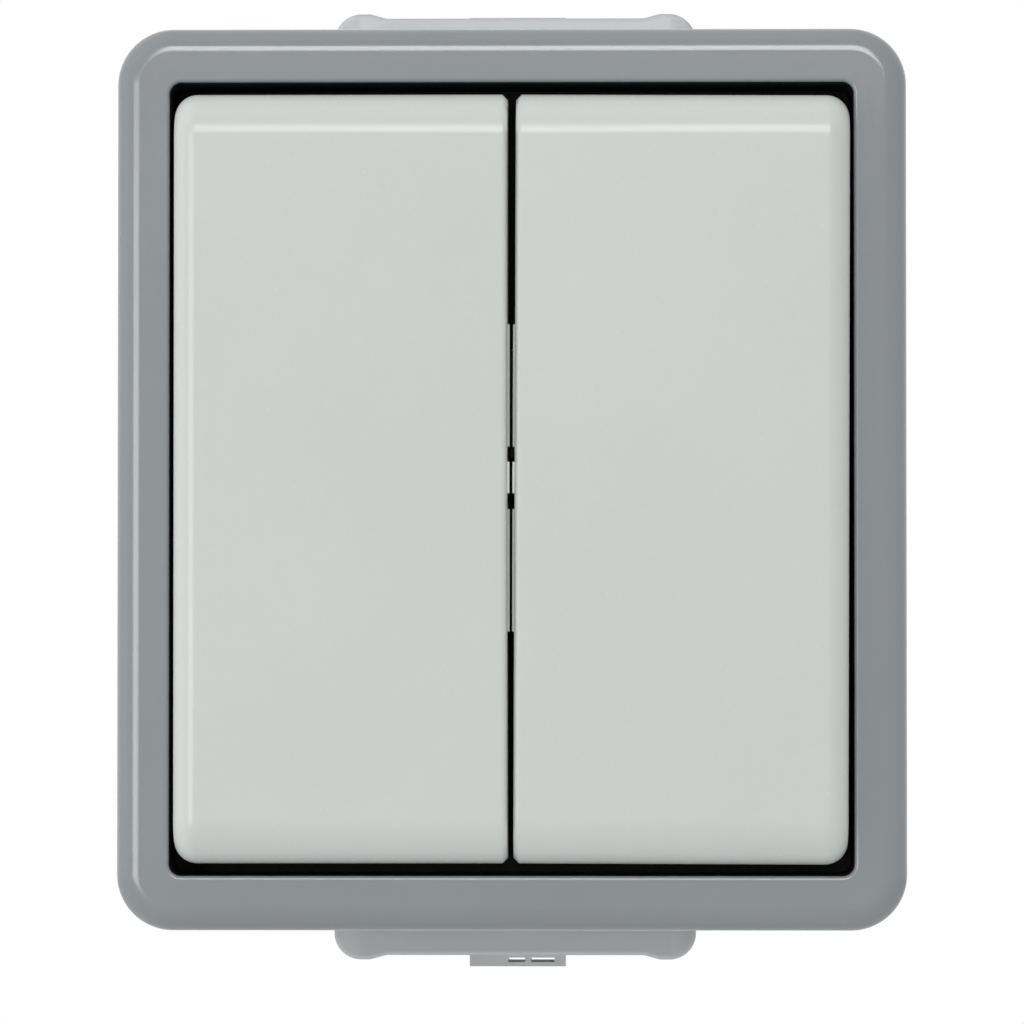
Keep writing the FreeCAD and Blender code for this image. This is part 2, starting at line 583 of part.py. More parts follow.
def make_cable_entry(end, sign, slot_side):
    """A plug that closes the slot in the wall, with two membranes for cables and a grip tab."""
    body = add_body(f"cable_entry_{end}")

    def up(formula):
        return f"{sign}({formula})"

    foot = "base_z + entry_fit / 2"
    crown = "hood_height - hood_dish"
    outline = [
        ("-hood_half", up(foot)), ("hood_half", up(foot)),
        ("hood_half", up("hood_height")), ("hood_slope_far", up("hood_height")),
        ("hood_dish_half", up(crown)), ("-hood_dish_half", up(crown)),
        ("-hood_slope_far", up("hood_height")), ("-hood_half", up("hood_height")),
    ]
    add_front(body, "hood", lambda s: polygon(s, *outline), "hood_rear", "hood_front")

    def at_shoulder(edge, middle):
        return runs_back(edge) and near(abs(middle.x), "hood_half") and near(abs(middle.z), "hood_height")

    round_edges(body, "shoulders", "hood_corner", at_shoulder)
    tab = ("-tab_half", "tab_half", up(foot), up("tab_height"))
    add_front(body, "tab", lambda s: rectangle(s, *tab), "hood_rear", "tab_front")

    def at_front(edge, middle):
        return near(-middle.y, "hood_front") and abs(middle.z) > number(foot) + 0.01

    bevel_edges(body, "front", "hood_front_bevel", at_front)
    neck = "(entry_slot_half - entry_fit)"
    inner = "inner_z - entry_fit / 2"
    add_front(body, "neck", lambda s: rectangle(s, f"-{neck}", neck, up(inner), up(foot)),
              "entry_slot_rear + entry_fit", "hood_front")
    tongue = (f"-{neck}", neck, up(inner), up("rim_z - entry_fit / 2"))
    add_front(body, "tongue", lambda s: rectangle(s, *tongue), "hood_front", "rim_front - entry_fit")
    flange = ("-flange_half", "flange_half", up(f"{inner} - flange_thick"), up(inner))
    add_front(body, "flange", lambda s: rectangle(s, *flange),
              "base_back + entry_fit", "seal_rear - step_gap")

    def slots(sketch):
        for start in ("tab_slot_start", "tab_slot_start + tab_slot_pitch"):
            ends = on_side(slot_side, start, f"{start} + tab_slot_length")
            rectangle(sketch, *ends, up(crown), up(f"{crown} + tab_slot_height"))

    cut_front(body, "tab_slots", slots, "hood_rear", "tab_front")

    def membranes(sketch):
        for across in ("-nipple_middle", "nipple_middle"):
            circle(sketch, across, "-nipple_depth", "nipple_radius")

    def inner_recess(sketch):
        across = ("-nipple_middle - nipple_radius", "nipple_middle + nipple_radius")
        rectangle(sketch, *across, "-nipple_depth - nipple_radius", "-nipple_depth + nipple_radius")

    floor = f"{crown} - nipple_deep"
    levels = (
        ("recess", membranes, floor, "hood_height + overcut"),
        ("inner_recess", inner_recess, f"{inner} - flange_thick", f"{floor} - membrane_thick"),
    )
    for name, draw, low, high in levels:
        ends = (low, high) if not sign else (up(high), up(low))
        cut_up(body, name, draw, *ends)


def make_frame_gasket():
    body = add_body("frame_gasket")
    outer = ("skirt_x - gasket_fit", "skirt_z - gasket_fit", "skirt_corner - gasket_fit")
    inner = ("(collar_x + gasket_fit)", "(collar_z + gasket_fit)", "(collar_corner + gasket_fit)")
    add_front(body, "ring", lambda s: rounded_panel(s, *[f"({part})" for part in outer]),
              "rim_front", "groove_floor")
    cut_front(body, "middle", lambda s: rounded_panel(s, *inner), "rim_front", "groove_floor")


def make_seal_membrane():
    """The black diaphragm moulded to the end of the frame's collar, with a lip round the turret."""
    body = add_body("seal_membrane")
    hole = ("(turret_x + yoke_fit)", "(turret_half + yoke_fit)")
    add_front(body, "sheet", lambda s: rounded_panel(s, "collar_x", "collar_z", "collar_corner"),
              "seal_rear", "collar_rear")
    lip = [f"({half} + lip_wall)" for half in hole]
    add_front(body, "lip", lambda s: rounded_panel(s, *lip, "lip_wall"),
              "collar_rear", "collar_rear + lip_height")
    cut_front(body, "hole", lambda s: rectangle(s, f"-{hole[0]}", hole[0], f"-{hole[1]}", hole[1]),
              "seal_rear", "collar_rear + lip_height")


def make_support_yoke():
    body = add_body("support_yoke")
    add_front(body, "plate", lambda s: rounded_panel(s, "yoke_x", "yoke_z", "yoke_corner"),
              "yoke_rear", "yoke_front")
    window = ("(turret_x + yoke_fit)", "(turret_half + yoke_fit)")
    cut_front(body, "window", lambda s: rectangle(s, f"-{window[0]}", window[0], f"-{window[1]}", window[1]),
              "yoke_rear", "yoke_front")

    def screw_holes(sketch):
        for across in ("-yoke_screw_x", "yoke_screw_x"):
            circle(sketch, across, "0", "yoke_hole_radius")

    cut_front(body, "screw_holes", screw_holes, "yoke_rear", "yoke_front")


def make_mechanism_socket():
    body = add_body("mechanism_socket")
    add_front(body, "block", lambda s: rounded_panel(s, "turret_x", "socket_half", "socket_corner"),
              "socket_rear", "socket_front")
    channel = "(branch_half + strip_fit)"
    cross = "(strip_half + strip_fit)"
    past_end = "(socket_half + overcut)"
    for side in ("left", "right"):
        chamber = on_side(side, "chamber_near", "chamber_far")
        cut_front(body, f"chamber_{side}", lambda s: rectangle(s, *chamber, "-chamber_half", "chamber_half"),
                  "strip_rear", "socket_front")
        pocket = on_side(side, "post_middle - pocket_half", "post_middle + pocket_half")
        cut_front(body, f"pocket_{side}", lambda s: rectangle(s, *pocket, "pocket_start", past_end),
                  "pocket_rear", "socket_front")
        slot = on_side(side, f"post_middle - {cross}", f"post_middle + {cross}")
        ends = ("chamber_half - overcut", "pocket_start + overcut")
        cut_front(body, f"slot_{side}", lambda s: rectangle(s, *slot, *ends),
                  "strip_rear", "socket_front")
        stop = on_side(side, "post_middle - strip_half", "post_middle + strip_half")
        ends = ("-contact_place - stop_half", "-contact_place + stop_half")
        add_front(body, f"stop_{side}", lambda s: rectangle(s, *stop, *ends), "strip_rear", "stop_front")
    common = ("-pocket_half", "pocket_half", f"-{past_end}", "-pocket_start")
    cut_front(body, "pocket_common", lambda s: rectangle(s, *common), "pocket_rear", "socket_front")
    middle = ("-chamber_near - overcut", "chamber_near + overcut", f"-{cross}", cross)
    cut_front(body, "cross", lambda s: rectangle(s, *middle), "strip_rear", "socket_front")
    cut_front(body, "branch", lambda s: rectangle(s, f"-{channel}", channel, "-pocket_start - overcut", "0"),
              "strip_rear", "socket_front")


def make_mechanism_cover():
    """Flange and turret that close the socket, and three pedestals that hold the rocker axle."""
    body = add_body("mechanism_cover")
    add_front(body, "flange", lambda s: rectangle(s, "-turret_x", "turret_x", "-cover_half", "cover_half"),
              "socket_front", "yoke_rear")
    add_front(body, "turret", lambda s: rectangle(s, "-turret_x", "turret_x", "-turret_half", "turret_half"),
              "yoke_rear", "turret_front")
    supports = {
        "left": on_side("left", "pedestal_near", "pedestal_far"),
        "middle": ("-pedestal_middle_half", "pedestal_middle_half"),
        "right": on_side("right", "pedestal_near", "pedestal_far"),
    }
    for name, (left, right) in supports.items():
        foot = ("-axle_depth", "-turret_front", "-pedestal_radius", "pedestal_radius")
        add_across(body, f"pedestal_{name}", lambda s: rectangle(s, *foot), left, right)
        add_across(body, f"bearing_{name}", lambda s: circle(s, "-axle_depth", "0", "pedestal_radius"),
                   left, right)
    for side in ("left", "right"):
        window = on_side(side, "pedestal_middle_half", "pedestal_near")
        cut_front(body, f"window_{side}", lambda s: rectangle(s, *window, "-window_half", "window_half"),
                  "socket_front", "turret_front")
    cut_across(body, "axle_bore", lambda s: circle(s, "-axle_depth", "0", "axle_radius + axle_fit"),
               "-turret_x", "turret_x")


def make_rocker_axle():
    body = add_body("rocker_axle")
    add_across(body, "pin", lambda s: circle(s, "-axle_depth", "0", "axle_radius"),
               "-axle_half", "axle_half")


def make_carrier(side):
    """The lever that a rocker is clipped to: a hub on the axle, a saddle and a post with a bore."""
    body = add_body(f"carrier_{side}")
    hub = on_side(side, "hub_near", "hub_far")
    saddle = on_side(side, "hub_near + saddle_inset", "hub_far - saddle_inset")
    post = on_side(side, "post_middle - post_half_width", "post_middle + post_half_width")
    add_across(body, "hub", lambda s: circle(s, "-axle_depth", "0", "hub_radius"), *hub)
    add_front(body, "web", lambda s: rectangle(s, *saddle, "-saddle_web_half", "saddle_web_half"),
              "axle_depth", "saddle_rear")
    add_front(body, "saddle", lambda s: rectangle(s, *saddle, "-saddle_half", "saddle_half"),
              "saddle_rear", "saddle_front")
    add_front(body, "post", lambda s: rectangle(s, *post, "-post_half_height", "post_half_height"),
              "post_tip", "axle_depth")
    cut_across(body, "axle_bore", lambda s: circle(s, "-axle_depth", "0", "axle_radius + hub_fit"), *hub)
    cut_front(body, "spring_bore", lambda s: circle(s, place(side, "post_middle"), "0", "post_bore"),
              "post_tip", "post_bore_end")


def make_plunger(side):
    body = add_body(f"snap_plunger_{side}")
    add_front(body, "pin", lambda s: circle(s, place(side, "post_middle"), "0", "plunger_radius"),
              "plunger_tip", "plunger_end")
    bevel_edges(body, "tip", "plunger_bevel", lambda edge, middle: near(-middle.y, "plunger_tip"))


def make_spring(side):
    """A coil between the plunger and the end of the bore in the post."""
    body = add_body(f"snap_spring_{side}")
    sketch = sketch_on(body, "wire", "XY_Plane", "0")
    sketch.setExpression("AttachmentOffset.Base.x", bound(place(side, "post_middle")))
    sketch.setExpression("AttachmentOffset.Base.y", bound("-post_bore_end"))
    wire = ("spring_coil - spring_wire / 2", "spring_coil + spring_wire / 2", "0", "spring_wire")
    rectangle(sketch, *wire)
    coil = body.newObject("PartDesign::AdditiveHelix", f"{body.Label}_coil")
    coil.Profile = sketch
    coil.ReferenceAxis = (sketch, ["V_Axis"])
    coil.Mode = "height-turns-angle"
    coil.setExpression("Height", bound("post_bore_end - plunger_end - spring_wire"))
    coil.setExpression("Turns", bound("spring_turns"))
    doc.recompute()


def make_rocker(side):
    body = add_body(f"rocker_{side}")
    top = "rocker_top"
    width = on_side(side, "rocker_slit / 2", "rocker_far")
    add_front(body, "block", lambda s: rectangle(s, *width, f"-{top}", top), "rocker_rear", "rocker_front")

    def at_end(edge, middle):
        return near(-middle.y, "rocker_front") and near(abs(middle.z), top)

    round_edges(body, "ends", "rocker_end_round", at_end)

    def at_rear(edge):
        return all(near(-vertex.Point.y, "rocker_rear") for vertex in edge.Vertexes)

    def at_outer_side(edge, middle):
        return near(abs(middle.x), "rocker_far") and not at_rear(edge)

    round_edges(body, "outer_side", "rocker_side_round", at_outer_side)

    def at_slit(edge, middle):
        return near(abs(middle.x), "rocker_slit / 2") and not at_rear(edge)

    bevel_edges(body, "slit_side", "rocker_slit_bevel", at_slit)
    inner = on_side(side, "rocker_slit / 2 + rocker_wall", "rocker_far - rocker_wall")
    inner_top = f"({top} - rocker_wall)"
    cut_front(body, "hollow", lambda s: rectangle(s, *inner, f"-{inner_top}", inner_top),
              "rocker_rear", "rocker_ceiling")

    def at_inner_end(edge, middle):
        return near(-middle.y, "rocker_ceiling") and near(abs(middle.z), inner_top)

    round_edges(body, "inner_ends", "rocker_end_inner", at_inner_end)
    for end, sign in (("upper", ""), ("lower", "-")):
        low, high = "boss_half + boss_notch", "guide_length / 2"
        guide = (f"{sign}({low})", f"{sign}({high})")
        across = on_side(side, "guide_gap / 2", "rocker_slit / 2 + rocker_wall / 2")
        add_front(body, f"guide_{end}", lambda s: rectangle(s, *across, *guide), "rocker_rear",
                  "rocker_front - guide_sunk")
        web = (f"{sign}(web_place - web_thick / 2)", f"{sign}(web_place + web_thick / 2)")
        span = on_side(side, "rocker_slit / 2 + rocker_wall / 2", "rocker_far - rocker_wall / 2")
        add_front(body, f"web_{end}", lambda s: rectangle(s, *span, *web), "saddle_front", "rocker_ceiling")
        near_face = "saddle_half + hook_fit"
        arm = (f"{sign}({near_face})", f"{sign}({near_face} + hook_thick)")
        barb = (f"{sign}(saddle_half - hook_grip)", f"{sign}({near_face} + hook_thick)")
        width = on_side(side, "post_middle - hook_half", "post_middle + hook_half")
        barb_front = "saddle_rear - hook_fit"
        add_front(body, f"hook_{end}", lambda s: rectangle(s, *width, *arm), f"{barb_front} - barb_thick",
                  "rocker_ceiling")
        add_front(body, f"barb_{end}", lambda s: rectangle(s, *width, *barb),
                  f"{barb_front} - barb_thick", barb_front)
    boss = on_side(side, "boss_gap / 2", "rocker_slit / 2 + rocker_wall / 2")
    add_front(body, "boss", lambda s: rectangle(s, *boss, "-boss_half", "boss_half"), "rocker_rear",
              "rocker_front - boss_sunk")
    if side == "right":
        body.Placement.Rotation = FreeCAD.Rotation(FreeCAD.Vector(0, 1, 0), number("rocker_lean"))
        body.setExpression("Placement.Rotation.Angle", bound("rocker_lean"))


def make_seesaw(side):
    """A contact strip that rocks on the busbar's pivot edge."""
    body = add_body(f"contact_seesaw_{side}")
    width = on_side(side, "post_middle - seesaw_half_width", "post_middle + seesaw_half_width")
    strip = ("-seesaw_front", "-seesaw_rear", "-seesaw_half", "seesaw_half")
    add_across(body, "strip", lambda s: rectangle(s, *strip), *width)
    add_across(body, "hub", lambda s: circle(s, "-seesaw_depth", "0", "seesaw_hub"), *width)
    open_half = "(seesaw_hub + overcut)"
    open_side = ("-seesaw_depth", f"-seesaw_depth + {open_half}", f"-{open_half}", open_half)
    cut_across(body, "open_side", lambda s: rectangle(s, *open_side), *width)
    groove = "seesaw_pivot + seesaw_fit"
    cut_across(body, "groove", lambda s: circle(s, "-seesaw_depth", "0", groove), *width)


def make_contact(label, side, rear, front):
    body = add_body(f"{label}_{side}")
    across = on_side(side, "post_middle - contact_half", "post_middle + contact_half")
    ends = ("contact_place - contact_half", "contact_place + contact_half")
    add_front(body, "tip", lambda s: rectangle(s, *across, *ends), rear, front)


def make_live_busbar():
    body = add_body("live_busbar")
    reach = "(post_middle + seesaw_half_width)"
    add_front(body, "cross", lambda s: rectangle(s, f"-{reach}", reach, "-strip_half", "strip_half"),
              "strip_rear", "strip_front")
    add_front(body, "branch", lambda s: rectangle(s, "-branch_half", "branch_half", "-strip_reach", "0"),
              "strip_rear", "strip_front")
    for side in ("left", "right"):
        width = on_side(side, "post_middle - seesaw_half_width", "post_middle + seesaw_half_width")
        upright = ("-seesaw_depth", "-strip_front + strip_thick / 2", "-seesaw_pivot", "seesaw_pivot")
        add_across(body, f"upright_{side}", lambda s: rectangle(s, *upright), *width)
        add_across(body, f"edge_{side}", lambda s: circle(s, "-seesaw_depth", "0", "seesaw_pivot"), *width)


def make_switched_strip(side):
    body = add_body(f"switched_strip_{side}")
    width = on_side(side, "post_middle - strip_half", "post_middle + strip_half")
    add_front(body, "strip", lambda s: rectangle(s, *width, "strip_start", "strip_reach"),
              "strip_rear", "strip_front")


TERMINALS = [("-post_middle", "terminal_place"), ("post_middle", "terminal_place"), ("0", "-terminal_place")]


def make_terminal_cages():
    body = add_body("terminal_cages")

    def blocks(sketch):
        for across, up in TERMINALS:
            rectangle(sketch, f"{across} - cage_half_width", f"{across} + cage_half_width",
                      f"{up} - cage_half_height", f"{up} + cage_half_height")

    add_front(body, "blocks", blocks, "pocket_rear", "cage_front")

    def wire_spaces(sketch):
        for across, up in TERMINALS:
            rectangle(sketch, f"{across} - cage_half_width + cage_side_wall",
                      f"{across} + cage_half_width - cage_side_wall",
                      "-cage_front + cage_front_wall", "-strip_rear")

    reach = "(terminal_place + cage_half_height)"
    cut_up(body, "wire_spaces", wire_spaces, f"-{reach}", reach)


def make_earth_terminal():
    body = add_body("earth_terminal")
    ends = ("earth_x - earth_half", "earth_x + earth_half", "-earth_z - earth_half", "-earth_z + earth_half")
    add_front(body, "block", lambda s: rectangle(s, *ends), "base_back", "earth_front")
    cut_across(body, "wire_hole", lambda s: circle(s, "-earth_wire_depth", "-earth_z", "earth_wire_radius"),
               "earth_x - earth_half", "earth_x + earth_half")


make_base_box()
make_cable_entry("top", "", "left")
make_cable_entry("bottom", "-", "right")
make_frame_gasket()
make_front_frame()
make_seal_membrane()
make_support_yoke()
make_mechanism_socket()
make_mechanism_cover()
make_rocker_axle()
make_live_busbar()
make_terminal_cages()
make_earth_terminal()
for half in ("left", "right"):
    make_rocker(half)
    make_carrier(half)
    make_plunger(half)
    make_spring(half)
    make_seesaw(half)
    make_contact("moving_contact", half, "seesaw_rear - moving_contact_thick", "seesaw_rear")
    make_contact("fixed_contact", half, "strip_front", "strip_front + fixed_contact_thick")
    make_switched_strip(half)

doc.recompute()
for item in doc.Objects:
    if "Invalid" in item.State or "Error" in item.State:
        raise RuntimeError(f"{item.Label} failed: {item.State}")
os.makedirs("parts", exist_ok=True)
for sub_part in sub_parts:
    if sub_part.Shape.isNull() or not sub_part.Shape.isValid() or not sub_part.Shape.Solids:
        raise RuntimeError(f"{sub_part.Label} has no valid solid")
for sub_part in sub_parts:
    sub_part.Shape.exportStep(f"parts/{sub_part.Label}.step")
    print(f"{sub_part.Label}: {len(sub_part.Shape.Solids)} solid, {sub_part.Shape.Volume:.1f} mm3")
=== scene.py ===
"""Looks of the surface-mounted weatherproof switch.

The CAD parts get their finishes. The front frame, the two cable entries and the two snap springs
are replaced by finer skins of the same size, and the small screws are added. Then come the floor,
the lamps and the camera.

Metres. The wall is the plane y = 0, +X is to the right and +Z is up for someone who faces the
switch, and the front looks along -Y. A depth is a distance in front of the wall.
"""
import json
import math
from collections import namedtuple

import bmesh
import bpy
from mathutils import Matrix, Vector


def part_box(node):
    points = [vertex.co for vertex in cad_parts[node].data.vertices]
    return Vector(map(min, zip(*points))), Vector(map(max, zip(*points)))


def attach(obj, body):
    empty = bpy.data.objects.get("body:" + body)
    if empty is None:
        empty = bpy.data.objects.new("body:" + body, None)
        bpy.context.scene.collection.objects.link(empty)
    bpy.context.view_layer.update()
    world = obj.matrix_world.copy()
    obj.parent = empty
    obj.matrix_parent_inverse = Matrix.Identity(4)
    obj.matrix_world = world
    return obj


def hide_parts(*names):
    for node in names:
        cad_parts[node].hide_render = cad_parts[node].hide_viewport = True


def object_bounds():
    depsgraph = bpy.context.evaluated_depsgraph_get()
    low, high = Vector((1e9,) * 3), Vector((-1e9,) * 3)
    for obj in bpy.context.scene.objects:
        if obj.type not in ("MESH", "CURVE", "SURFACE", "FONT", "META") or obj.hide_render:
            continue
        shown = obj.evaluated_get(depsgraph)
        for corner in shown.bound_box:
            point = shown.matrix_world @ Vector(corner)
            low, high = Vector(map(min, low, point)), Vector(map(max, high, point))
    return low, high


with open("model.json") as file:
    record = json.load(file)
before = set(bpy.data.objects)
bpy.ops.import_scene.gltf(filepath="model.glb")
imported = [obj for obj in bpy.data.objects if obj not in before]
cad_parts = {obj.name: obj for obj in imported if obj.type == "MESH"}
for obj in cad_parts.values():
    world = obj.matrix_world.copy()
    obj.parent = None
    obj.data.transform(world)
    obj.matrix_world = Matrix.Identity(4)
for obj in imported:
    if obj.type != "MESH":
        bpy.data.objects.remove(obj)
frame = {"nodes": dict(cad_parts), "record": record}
CAD_BOX = [list(corner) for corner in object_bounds()]
MM = 0.001
SIDES = ("left", "right")
WHITE = (1, 1, 1, 1)
scene = bpy.context.scene


# Finishes. Most of what a noise node gives lies between NOISE_LOW and NOISE_HIGH. The shades are
# factors on the base colour.
NOISE_LOW, NOISE_HIGH = 0.3, 0.7
FINE_DETAIL = 4.0
DRIFT_SIZE = 18 * MM
DRIFT_DEPTH = 0.02 * MM
GLOSS_SWING = 0.04
RUBBER_GRAIN = 0.15 * MM
RUBBER_GRAIN_DEPTH = 0.006 * MM
RUBBER_ROUGHNESS = (0.62, 0.8)
RUBBER_SPECULAR = 0.35
BLOOM_SIZE = 6 * MM
BLOOM_SHADE = 1.5
BLOOM_LOW, BLOOM_HIGH = 0.35, 0.75
METAL_LINE = 0.08 * MM
METAL_LINE_DEPTH = 0.004 * MM
METAL_SMOOTHER, METAL_ROUGHER = 0.06, 0.08
STAIN_SIZE = 4 * MM
STAIN_SHADE = 0.82
STAIN_HIGH = 0.75


def linear(red, green, blue):
    """An 8-bit display colour as linear light, with full alpha."""
    def channel(value):
        value /= 255
        return value / 12.92 if value <= 0.04045 else ((value + 0.055) / 1.055) ** 2.4
    return (channel(red), channel(green), channel(blue), 1.0)


def shade(colour, factor):
    """A colour made darker or lighter by a factor, with full alpha."""
    return (*[min(1.0, part * factor) for part in colour[:3]], 1.0)


class Nodes:
    """A new material, and short ways to add and join its shader nodes."""

    def __init__(self, name):
        self.material = bpy.data.materials.new(name)
        self.material.use_nodes = True
        self.tree = self.material.node_tree
        self.shader = self.tree.nodes["Principled BSDF"]
        self.place = self.add("ShaderNodeTexCoord").outputs["Object"]

    def add(self, kind, **settings):
        """Adds a node with the given settings."""
        node = self.tree.nodes.new(kind)
        for key, value in settings.items():
            setattr(node, key, value)
        return node

    def join(self, source, target):
        """Links an output to an input."""
        self.tree.links.new(source, target)

    def noise(self, size, detail=3.0, stretch=(1, 1, 1)):
        """Noise whose grains are about as large as size, in metres."""
        mapping = self.add("ShaderNodeMapping")
        mapping.inputs["Scale"].default_value = [way / size for way in stretch]
        self.join(self.place, mapping.inputs["Vector"])
        noise = self.add("ShaderNodeTexNoise")
        noise.inputs["Scale"].default_value = 1.0
        noise.inputs["Detail"].default_value = detail
        self.join(mapping.outputs["Vector"], noise.inputs["Vector"])
        return noise.outputs["Fac"]

    def blend(self, factor, first, second, low=NOISE_LOW, high=NOISE_HIGH):
        """Goes from the first colour to the second as the factor goes from low to high."""
        ramp = self.add("ShaderNodeValToRGB")
        start, end = ramp.color_ramp.elements
        start.position, end.position = low, high
        start.color, end.color = first, second
        self.join(factor, ramp.inputs["Fac"])
        return ramp.outputs["Color"]

    def spread(self, factor, first, second):
        """Goes from the first number to the second over the usual range of a noise."""
        mapped = self.add("ShaderNodeMapRange")
        mapped.inputs["From Min"].default_value = NOISE_LOW
        mapped.inputs["From Max"].default_value = NOISE_HIGH
        mapped.inputs["To Min"].default_value = first
        mapped.inputs["To Max"].default_value = second
        self.join(factor, mapped.inputs["Value"])
        return mapped.outputs["Result"]

    def bump(self, heights):
        """Bumps of given depths in metres, laid over each other, into the shader's normal."""
        normal = None
        for factor, depth in heights:
            bump = self.add("ShaderNodeBump")
            bump.inputs["Strength"].default_value = 1.0
            bump.inputs["Distance"].default_value = depth
            self.join(factor, bump.inputs["Height"])
            if normal is not None:
                self.join(normal, bump.inputs["Normal"])
            normal = bump.outputs["Normal"]
        self.join(normal, self.shader.inputs["Normal"])


def moulded_plastic(name, colour, roughness, grain, grain_depth, tone_swing=0.02, specular=0.5):
    """Injection moulded plastic: a fine eroded grain, a slow drift of tone and uneven gloss."""
    nodes = Nodes(name)
    slow = nodes.noise(DRIFT_SIZE)
    fine = nodes.noise(grain)
    tone = nodes.blend(slow, shade(colour, 1 - tone_swing), shade(colour, 1 + tone_swing))
    gloss = nodes.spread(fine, roughness - GLOSS_SWING, roughness + GLOSS_SWING)
    nodes.join(tone, nodes.shader.inputs["Base Color"])
    nodes.join(gloss, nodes.shader.inputs["Roughness"])
    nodes.shader.inputs["Specular IOR Level"].default_value = specular
    nodes.bump([(fine, grain_depth), (slow, DRIFT_DEPTH)])
    return nodes.material


def soft_rubber(name, colour):
    """Dull rubber with a fine grain and a faint bloom."""
    nodes = Nodes(name)
    fine = nodes.noise(RUBBER_GRAIN, detail=FINE_DETAIL)
    bloom = nodes.noise(BLOOM_SIZE)
    tone = nodes.blend(bloom, colour, shade(colour, BLOOM_SHADE), BLOOM_LOW, BLOOM_HIGH)
    nodes.join(tone, nodes.shader.inputs["Base Color"])
    nodes.join(nodes.spread(fine, *RUBBER_ROUGHNESS), nodes.shader.inputs["Roughness"])
    nodes.shader.inputs["Specular IOR Level"].default_value = RUBBER_SPECULAR
    nodes.bump([(fine, RUBBER_GRAIN_DEPTH)])
    return nodes.material


def drawn_metal(name, colour, roughness, stretch):
    """Rolled or drawn metal with fine lines along one way and a faint stain."""
    nodes = Nodes(name)
    lines = nodes.noise(METAL_LINE, stretch=stretch)
    stain = nodes.noise(STAIN_SIZE, detail=FINE_DETAIL)
    tone = nodes.blend(stain, colour, shade(colour, STAIN_SHADE), high=STAIN_HIGH)
    gloss = nodes.spread(lines, roughness - METAL_SMOOTHER, roughness + METAL_ROUGHER)
    nodes.join(tone, nodes.shader.inputs["Base Color"])
    nodes.join(gloss, nodes.shader.inputs["Roughness"])
    nodes.shader.inputs["Metallic"].default_value = 1.0
    nodes.bump([(lines, METAL_LINE_DEPTH)])
    return nodes.material


FINISHES = {
    "frame": moulded_plastic(
        "frame_plastic", linear(144, 149, 152), roughness=0.17,
        grain=0.22 * MM, grain_depth=0.0005 * MM, specular=0.6),
    "box": moulded_plastic(
        "box_plastic", linear(208, 210, 211), roughness=0.4,
        grain=0.2 * MM, grain_depth=0.002 * MM),
    "rocker": moulded_plastic(
        "rocker_plastic", linear(218, 223, 220), roughness=0.24,
        grain=0.3 * MM, grain_depth=0.0003 * MM, tone_swing=0.01, specular=0.3),
    # The seals' black rubber, made darker than rubber is so that the gap round the rockers shows as
    # deep shade: partly the rubber's own colour, partly painted shade.
    "seal": soft_rubber("seal_rubber_and_gap_shade", linear(10, 11, 11)),
    "steel": drawn_metal(
        "zinc_steel", linear(196, 198, 196), roughness=0.34, stretch=(1, 1, 0.08)),
    "socket": moulded_plastic(
        "white_thermoset", linear(232, 230, 224), roughness=0.42,
        grain=0.15 * MM, grain_depth=0.003 * MM),
    "cover": moulded_plastic(
        "black_moulding", linear(44, 44, 46), roughness=0.4,
        grain=0.2 * MM, grain_depth=0.003 * MM, tone_swing=0.08),
    "plunger": moulded_plastic(
        "natural_plastic", linear(222, 217, 202), roughness=0.3,
        grain=0.3 * MM, grain_depth=0.001 * MM),
    "brass": drawn_metal(
        "plain_brass", linear(206, 172, 104), roughness=0.28, stretch=(1, 1, 0.1)),
}
SLOT_OF = {entry["node"]: entry["material_slot"] for entry in frame["record"]["subparts"]}
MOULDED = ("box", "rocker", "socket", "cover", "plunger")
SOFT_ANGLE = math.radians(50)
SHARP_ANGLE = math.radians(35)
WELD_GAP = 0.001 * MM


def soften(piece):
    """Joins the facets and weights their normals by area, so that a small bevel shades round."""
    for face in piece.data.polygons:
        face.use_smooth = True
    weld = piece.modifiers.new("weld", "WELD")
    weld.merge_threshold = WELD_GAP
    split = piece.modifiers.new("edges", "EDGE_SPLIT")
    split.split_angle = SOFT_ANGLE
    weighted = piece.modifiers.new("normals", "WEIGHTED_NORMAL")
    weighted.keep_sharp = True


for label, node in frame["nodes"].items():
    node.data.materials.clear()
    node.data.materials.append(FINISHES[SLOT_OF[label]])
    if SLOT_OF[label] in MOULDED:
        soften(node)


def box_of(label):
    """The lowest and highest corner of a CAD node."""
    return [Vector(corner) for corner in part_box(label)]


def mesh_of(name, data):
    """A mesh from bmesh data, which is freed."""
    mesh = bpy.data.meshes.new(name)
    data.to_mesh(mesh)
    data.free()
    return mesh


def new_object(name, data):
    """An object in the scene that shows the given mesh, lamp or camera data."""
    made = bpy.data.objects.new(name, data)
    scene.collection.objects.link(made)
    return made


def new_piece(name, mesh, finish, body):
    """Puts a mesh into the scene as a piece that moves with a CAD body."""
    for face in mesh.polygons:
        face.use_smooth = True
    mesh.set_sharp_from_angle(angle=SHARP_ANGLE)
    piece = new_object(name, mesh)
    mesh.materials.append(FINISHES[finish])
    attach(piece, body)
    return piece


def grid_mesh(name, rings, loop=False):
    """A skin over closed rings of points: a loop joins last to first, and else both get an end."""
    data = bmesh.new()
    rows = [[data.verts.new(point) for point in ring] for ring in rings]
    count = len(rows[0])
    for lower, upper in zip(rows, rows[1:] + rows[:1] if loop else rows[1:]):
        for index in range(count):
            following = (index + 1) % count
            data.faces.new((lower[index], lower[following], upper[following], upper[index]))
    if not loop:
        data.faces.new(list(reversed(rows[0])))
        data.faces.new(rows[-1])
    bmesh.ops.recalc_face_normals(data, faces=data.faces)
    return mesh_of(name, data)


